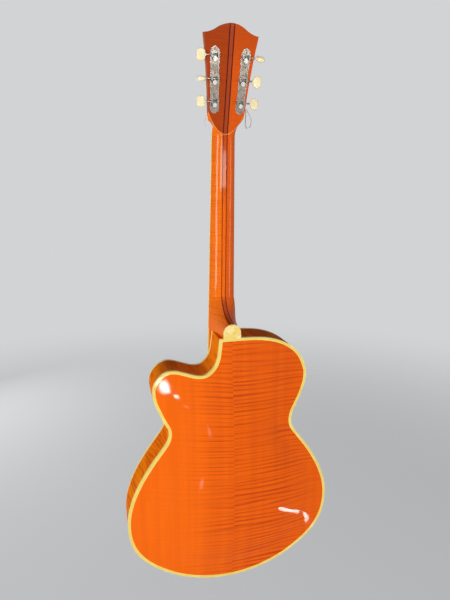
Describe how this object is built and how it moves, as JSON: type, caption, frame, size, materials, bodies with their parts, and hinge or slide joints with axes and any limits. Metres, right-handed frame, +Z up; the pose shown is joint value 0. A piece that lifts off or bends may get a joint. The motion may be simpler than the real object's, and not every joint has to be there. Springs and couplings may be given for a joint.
{
  "type": "archtop guitar",
  "caption": "Hollow archtop guitar with a rounded cutaway, arched plates, two sound holes, worm-gear machine heads, floating bridge and trapeze tailpiece.",
  "frame": {"origin": "centre of the neck's thickness at the nut, where a wall yoke holds the neck under the head", "axes": "+Z up along the body towards the head, -Y out of the top (strings), +Y out of the back, +X to the treble (cutaway) side"},
  "size_m": [0.407, 0.1272, 1.0523],
  "materials": {
    "spruce": "gloss varnish",
    "maple": "gloss varnish",
    "strip_wood": "gloss varnish",
    "veneer_wood": "gloss varnish",
    "bare_wood": "sanded",
    "cream": "gloss",
    "black_line": "gloss",
    "rosewood": "satin",
    "ebony": "satin",
    "pearl": "gloss",
    "bone": "polished",
    "black_gloss": "gloss",
    "nickel": "polished nickel",
    "steel": "plain",
    "gear_brass": "plain",
    "button_cream": "gloss"
  },
  "bodies": {
    "guitar": {"top_plate": "spruce", "back_bass": "maple", "back_treble": "maple", "rib_bass": "maple", "rib_treble": "maple", "linings": "bare_wood", "neck_block": "bare_wood", "tail_block": "bare_wood", "tone_bars": "bare_wood", "binding_front": "cream", "binding_back": "cream", "purfling_lines": "black_line", "purfling_strips": "cream", "neck_wings": "maple", "neck_centre_strip": "strip_wood", "neck_veneers": "veneer_wood", "heel_cap": "cream", "fingerboard": "rosewood", "neck_binding": "cream", "frets": "steel", "position_markers": "pearl", "nut": "bone", "headplate": "black_gloss", "tuner_plate_bass": "nickel", "tuner_plate_treble": "nickel", "post_bushings": "nickel", "plate_screws": "nickel", "bridge_base": "ebony", "bridge_posts": "steel", "tailpiece": "nickel", "end_pin": "ebony", "strings": "steel"},
    "key_bass_1": {"worm_shaft_bass_1": "nickel", "button_bass_1": "button_cream"},
    "post_bass_1": {"tuner_post_bass_1": "nickel", "tuner_gear_bass_1": "gear_brass"},
    "key_bass_2": {"worm_shaft_bass_2": "nickel", "button_bass_2": "button_cream"},
    "post_bass_2": {"tuner_post_bass_2": "nickel", "tuner_gear_bass_2": "gear_brass"},
    "key_bass_3": {"worm_shaft_bass_3": "nickel", "button_bass_3": "button_cream"},
    "post_bass_3": {"tuner_post_bass_3": "nickel", "tuner_gear_bass_3": "gear_brass"},
    "key_treble_1": {"worm_shaft_treble_1": "nickel", "button_treble_1": "button_cream"},
    "post_treble_1": {"tuner_post_treble_1": "nickel", "tuner_gear_treble_1": "gear_brass"},
    "key_treble_2": {"worm_shaft_treble_2": "nickel", "button_treble_2": "button_cream"},
    "post_treble_2": {"tuner_post_treble_2": "nickel", "tuner_gear_treble_2": "gear_brass"},
    "key_treble_3": {"worm_shaft_treble_3": "nickel", "button_treble_3": "button_cream"},
    "post_treble_3": {"tuner_post_treble_3": "nickel", "tuner_gear_treble_3": "gear_brass"},
    "saddle": {"bridge_saddle": "ebony"},
    "wheel_bass": {"thumbwheel_bass": "nickel"},
    "wheel_treble": {"thumbwheel_treble": "nickel"}
  },
  "joints": [
    {"name": "key_turn_bass_1", "type": "hinge", "parent": "guitar", "child": "key_bass_1", "pos_m": [-0.02326, 0.02753, 0.05622], "axis": [0.999, 0.0121, 0.0437], "continuous": true},
    {"name": "post_turn_bass_1", "type": "hinge", "parent": "guitar", "child": "post_bass_1", "pos_m": [-0.02301, 0.02606, 0.05092], "axis": [0, 0.9636, -0.2672], "continuous": true},
    {"name": "key_turn_bass_2", "type": "hinge", "parent": "guitar", "child": "key_bass_2", "pos_m": [-0.02485, 0.03687, 0.08991], "axis": [0.999, 0.0121, 0.0437], "continuous": true},
    {"name": "post_turn_bass_2", "type": "hinge", "parent": "guitar", "child": "post_bass_2", "pos_m": [-0.0246, 0.0354, 0.08462], "axis": [0, 0.9636, -0.2672], "continuous": true},
    {"name": "key_turn_bass_3", "type": "hinge", "parent": "guitar", "child": "key_bass_3", "pos_m": [-0.02644, 0.04621, 0.1236], "axis": [0.999, 0.0121, 0.0437], "continuous": true},
    {"name": "post_turn_bass_3", "type": "hinge", "parent": "guitar", "child": "post_bass_3", "pos_m": [-0.02619, 0.04474, 0.11831], "axis": [0, 0.9636, -0.2672], "continuous": true},
    {"name": "key_turn_treble_1", "type": "hinge", "parent": "guitar", "child": "key_treble_1", "pos_m": [0.02326, 0.02753, 0.05622], "axis": [0.999, -0.0121, -0.0437], "continuous": true},
    {"name": "post_turn_treble_1", "type": "hinge", "parent": "guitar", "child": "post_treble_1", "pos_m": [0.02301, 0.02606, 0.05092], "axis": [0, 0.9636, -0.2672], "continuous": true},
    {"name": "key_turn_treble_2", "type": "hinge", "parent": "guitar", "child": "key_treble_2", "pos_m": [0.02485, 0.03687, 0.08991], "axis": [0.999, -0.0121, -0.0437], "continuous": true},
    {"name": "post_turn_treble_2", "type": "hinge", "parent": "guitar", "child": "post_treble_2", "pos_m": [0.0246, 0.0354, 0.08462], "axis": [0, 0.9636, -0.2672], "continuous": true},
    {"name": "key_turn_treble_3", "type": "hinge", "parent": "guitar", "child": "key_treble_3", "pos_m": [0.02644, 0.04621, 0.1236], "axis": [0.999, -0.0121, -0.0437], "continuous": true},
    {"name": "post_turn_treble_3", "type": "hinge", "parent": "guitar", "child": "post_treble_3", "pos_m": [0.02619, 0.04474, 0.11831], "axis": [0, 0.9636, -0.2672], "continuous": true},
    {"name": "saddle_height", "type": "slide", "parent": "guitar", "child": "saddle", "axis": [0, -1, 0], "range_m": [-0.0012, 0.0012], "deforming": ["strings"]},
    {"name": "wheel_turn_bass", "type": "hinge", "parent": "saddle", "child": "wheel_bass", "pos_m": [-0.038, -0.037, -0.64112], "axis": [0, -1, 0], "range_deg": [-620, 620]},
    {"name": "wheel_turn_treble", "type": "hinge", "parent": "saddle", "child": "wheel_treble", "pos_m": [0.038, -0.037, -0.64112], "axis": [0, -1, 0], "range_deg": [-620, 620]}
  ],
  "couplings": [
    {"joint": "post_turn_bass_1", "follows": "key_turn_bass_1", "ratio": 0.071429},
    {"joint": "post_turn_bass_2", "follows": "key_turn_bass_2", "ratio": 0.071429},
    {"joint": "post_turn_bass_3", "follows": "key_turn_bass_3", "ratio": 0.071429},
    {"joint": "post_turn_treble_1", "follows": "key_turn_treble_1", "ratio": -0.071429},
    {"joint": "post_turn_treble_2", "follows": "key_turn_treble_2", "ratio": -0.071429},
    {"joint": "post_turn_treble_3", "follows": "key_turn_treble_3", "ratio": -0.071429},
    {"joint": "wheel_turn_bass", "follows": "saddle_height", "rad_per_m": 8976},
    {"joint": "wheel_turn_treble", "follows": "saddle_height", "rad_per_m": 8976}
  ]
}
